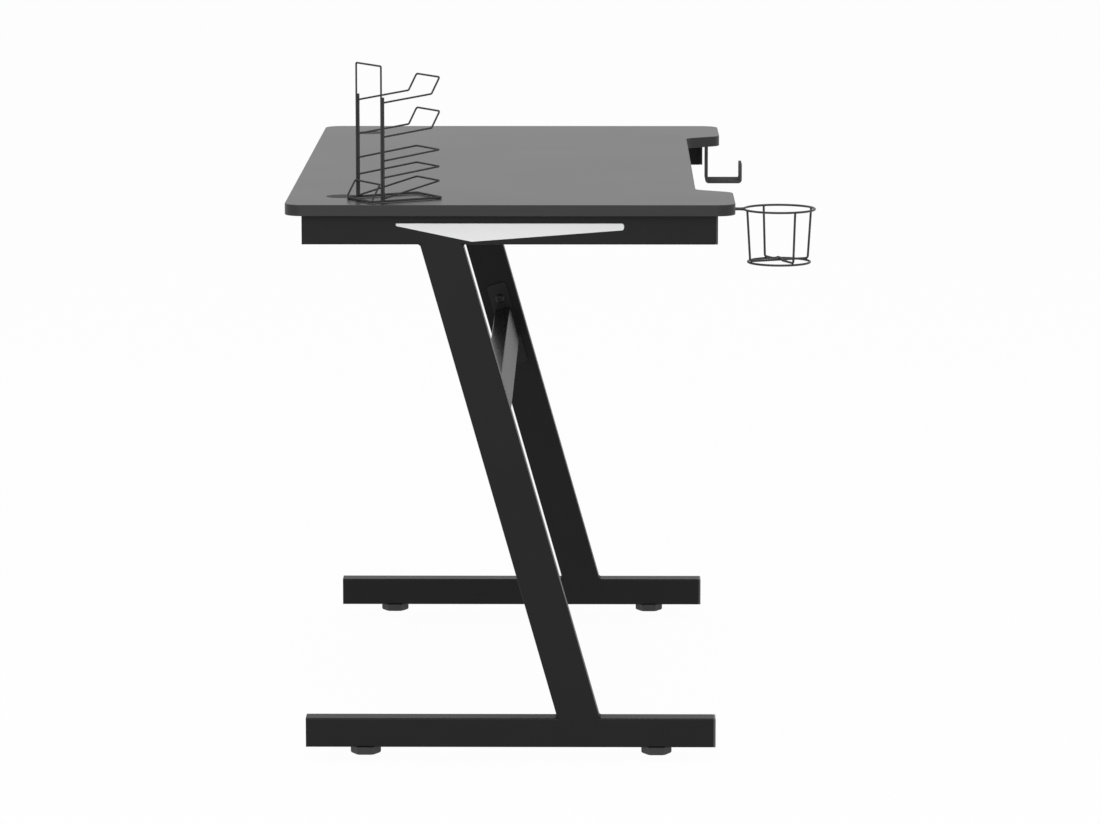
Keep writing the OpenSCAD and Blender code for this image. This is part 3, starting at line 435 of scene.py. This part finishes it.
def makeSeams(look):
    slope = math.atan2(look["lean"], look["headZ"] - look["footZ"])
    half = look["legWide"] / 2 / math.cos(slope)
    points, faces = [], []
    for side in (-1, 1):
        for end, z in ((1, look["headZ"]), (-1, look["footZ"])):
            for face in (-1, 1):
                y = look["middleY"] + end * look["lean"] / 2 + face * half
                start = Vector((side * look["sideX"] - look["long"] / 2, y, z))
                leg = Vector((0, -end * math.sin(slope), -end * math.cos(slope)))
                addBead(points, faces, start, Vector((1, 0, 0)), Vector((0, face, 0)), leg, look)
    makePiece("weldSeams", points, faces, "black_steel", "desk")


makeSeams(seams)


# Welds ground flush, which fill the rounded corner of a rail where a leg's flat side meets it
flush = {
    "outer": 0.508, "inner": 0.478, "middleY": 0.055225, "lean": 0.183, "half": 0.0266, "corner": 0.0022,
    "headZ": 0.695, "footZ": 0.050, "proud": 0.00004, "steps": 40, "uneven": (0.3, 1.0), "seed": 7,
    "section": [(-0.1, 0), (-0.1, 1), (0.5, 1.15), (1.0, 1.0), (1.0, 0.4), (0.45, 0)],  # rise and depth
}


def addFlush(points, faces, x, out, z, up, middle, look, hand):
    base = len(points)
    size = look["corner"]
    for i in range(look["steps"] + 1):
        y = middle + look["half"] * (2 * i / look["steps"] - 1)
        hollow = hand.uniform(*look["uneven"]) * look["proud"]
        for rise, depth in look["section"]:
            skin = hollow if depth >= 1 else 0
            across = x - out * (size * (1 - min(depth, 1))) + out * skin
            points.append(Vector((across, y, z + up * rise * size)))
    count = len(look["section"])
    faces += tube(look["steps"] + 1, count, base)
    faces.append(tuple(base + j for j in reversed(range(count))))
    faces.append(tuple(base + look["steps"] * count + j for j in range(count)))


def makeFlush(look):
    hand = random.Random(look["seed"])
    points, faces = [], []
    for side in (-1, 1):
        for x, out in ((side * look["outer"], side), (side * look["inner"], -side)):
            for end, z in ((1, look["headZ"]), (-1, look["footZ"])):
                middle = look["middleY"] + end * look["lean"] / 2
                addFlush(points, faces, x, out, z, end, middle, look, hand)
    piece = makePiece("flushWelds", points, faces, "black_steel", "desk", False)
    shape = bmesh.new()
    shape.from_mesh(piece.data)
    bmesh.ops.recalc_face_normals(shape, faces=shape.faces)
    shape.to_mesh(piece.data)
    shape.free()


makeFlush(flush)


# Spot welds, where the wires of the rack and of the cup holder cross
nugget = {"rings": 7, "ring": 12}
rack = {
    "at": (-0.4692, 0.241325, 0.7503), "turn": -58.6, "half": 0.0342, "armHalf": 0.03255,
    "rod": 0.0032, "wire": 0.0025, "hoopX": -0.00295, "braceX": -0.00555, "braceZ": 0.0243, "rear": -0.0169,
    "arms": (0.1323, 0.0867, 0.0547, 0.0322, 0.0038), "hoopWelds": (0.03, 0.075, 0.125),
    "rodWide": 0.62, "wireWide": 0.55, "flat": 0.0007, "long": 0.0022, "thin": 0.0006, "braceFlat": 0.0005,
    "armRise": 0.0002, "hoopWide": 0.9, "rearWide": 1.2, "hoopSlim": 0.8,
}
cup = {
    "at": (-0.425, -0.305975), "turn": 24.2, "topR": 0.04775, "topZ": 0.7334, "footR": 0.0417, "footZ": 0.6619,
    "wire": 0.003, "bend": 0.0035, "gap": 0.0001,
    "wide": 0.55, "narrow": 0.8, "topFlat": 0.0007, "footFlat": 0.0008, "crossFlat": 0.0006,
}


def addNugget(points, faces, at, size):
    rings, ringSize = nugget["rings"], nugget["ring"]
    base = len(points)
    for i in range(rings):
        up = math.pi * (i + 0.5) / rings - math.pi / 2
        for j in range(ringSize):
            turn = 2 * math.pi * j / ringSize
            way = (math.cos(up) * math.cos(turn), math.cos(up) * math.sin(turn), math.sin(up))
            points.append(Vector(at) + Vector(a * b for a, b in zip(way, size)))
    faces += tube(rings, ringSize, base)
    faces.append(tuple(base + j for j in reversed(range(ringSize))))
    faces.append(tuple(base + (rings - 1) * ringSize + j for j in range(ringSize)))


def makeRackWelds(look):
    points, faces = [], []
    fat = look["rod"] * look["rodWide"]
    slim = look["wire"] * look["wireWide"]
    flat, thin = look["flat"], look["thin"]
    braceX = (look["hoopX"] + look["braceX"]) / 2
    for side in (-1, 1):
        y = side * look["half"]
        addNugget(points, faces, (0, y, look["rod"]), (fat, fat, flat))
        hoopFat = fat * look["hoopWide"]
        addNugget(points, faces, (look["hoopX"], y, look["rod"]), (hoopFat, hoopFat, flat))
        addNugget(points, faces, (look["rear"], y, look["rod"]), (slim, slim * look["rearWide"], thin))
        addNugget(points, faces, (braceX, y, look["braceZ"]), (look["braceFlat"], slim, slim))
        for z in look["hoopWelds"]:
            spot = (-look["rod"] / 2, y, z)
            addNugget(points, faces, spot, (flat, slim * look["hoopSlim"], look["long"]))
        for z in look["arms"]:
            spot = (0, side * look["armHalf"], z + look["armRise"])
            addNugget(points, faces, spot, (slim, thin, slim))
    turn = Matrix.Translation(look["at"]) @ Matrix.Rotation(math.radians(look["turn"]), 4, "Z")
    piece = makePiece("rackWelds", [turn @ p for p in points], faces, "black_wire", "rack")
    piece.data.materials[0] = rackCoat


def makeCupWelds(look):
    points, faces = [], []
    fat = look["wire"] * look["wide"]
    slim = fat * look["narrow"]
    joint = look["bend"] + look["wire"] + look["gap"]
    inward = look["footR"] - (look["footR"] + look["wire"] / 2 - look["bend"])
    rise = math.sqrt(joint ** 2 - inward ** 2)
    touch = (look["bend"] + look["wire"] / 2) / joint
    spotR = look["footR"] + look["wire"] / 2 - look["bend"] + inward * touch
    spotZ = look["footZ"] + rise * (1 - touch)
    for i in range(4):
        turn = math.radians(look["turn"] + 90 * i)
        way = Vector((math.cos(turn), math.sin(turn), 0))
        centre = Vector((*look["at"], 0))
        up = Vector((0, 0, 1))
        top = centre + way * look["topR"] + up * (look["topZ"] - look["wire"] / 2)
        addNugget(points, faces, top, (fat, fat, look["topFlat"]))
        addNugget(points, faces, centre + way * spotR + up * spotZ, (slim, slim, look["footFlat"]))
    floorZ = look["footZ"] + rise - look["bend"]
    cross = (*look["at"], floorZ + look["wire"] / 2)
    addNugget(points, faces, cross, (slim, slim, look["crossFlat"]))
    makePiece("cupWelds", points, faces, "black_wire", "desk")


makeRackWelds(rack)
makeCupWelds(cup)


# Threads of the four levelling glides, which show when a pad is screwed out
stud = {
    "outer": 0.00398, "root": 0.0034, "pitch": 0.00125, "low": 0.00405, "high": 0.034, "rows": 8, "ring": 32,
    "lead": 0.0012, "taper": 0.14, "land": 1.35, "flank": 3.4,
}


def makeThread(name, at, look):
    points, faces = [], []
    ring = look["ring"]
    count = round((look["high"] - look["low"]) / look["pitch"] * look["rows"])
    for i in range(count + 1):
        z = look["low"] + (look["high"] - look["low"]) * i / count
        lead = min(1, (look["high"] - z) / look["lead"])
        core = look["root"] * (1 - look["taper"] + look["taper"] * lead)
        for j in range(ring):
            turn = 2 * math.pi * j / ring
            phase = (z / look["pitch"] - j / ring) % 1
            crest = min(1, max(0, look["land"] - abs(phase - 0.5) * look["flank"]))
            size = core + (look["outer"] - look["root"]) * crest * lead
            points.append(Vector(at) + Vector((size * math.cos(turn), size * math.sin(turn), z)))
    faces += tube(count + 1, ring)
    faces.append(tuple(reversed(range(ring))))
    faces.append(tuple(count * ring + j for j in range(ring)))
    return points, faces


for side in ("left", "right"):
    for end in ("front", "rear"):
        name = side + "_" + end
        low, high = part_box(name + "_stud")
        at = ((low.x + high.x) / 2, (low.y + high.y) / 2, 0)
        points, faces = makeThread(name, at, stud)
        piece = makePiece(name + "_thread", points, faces, "zinc_steel", name + "_glide")
        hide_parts(name + "_stud")
print("welds and threads made")
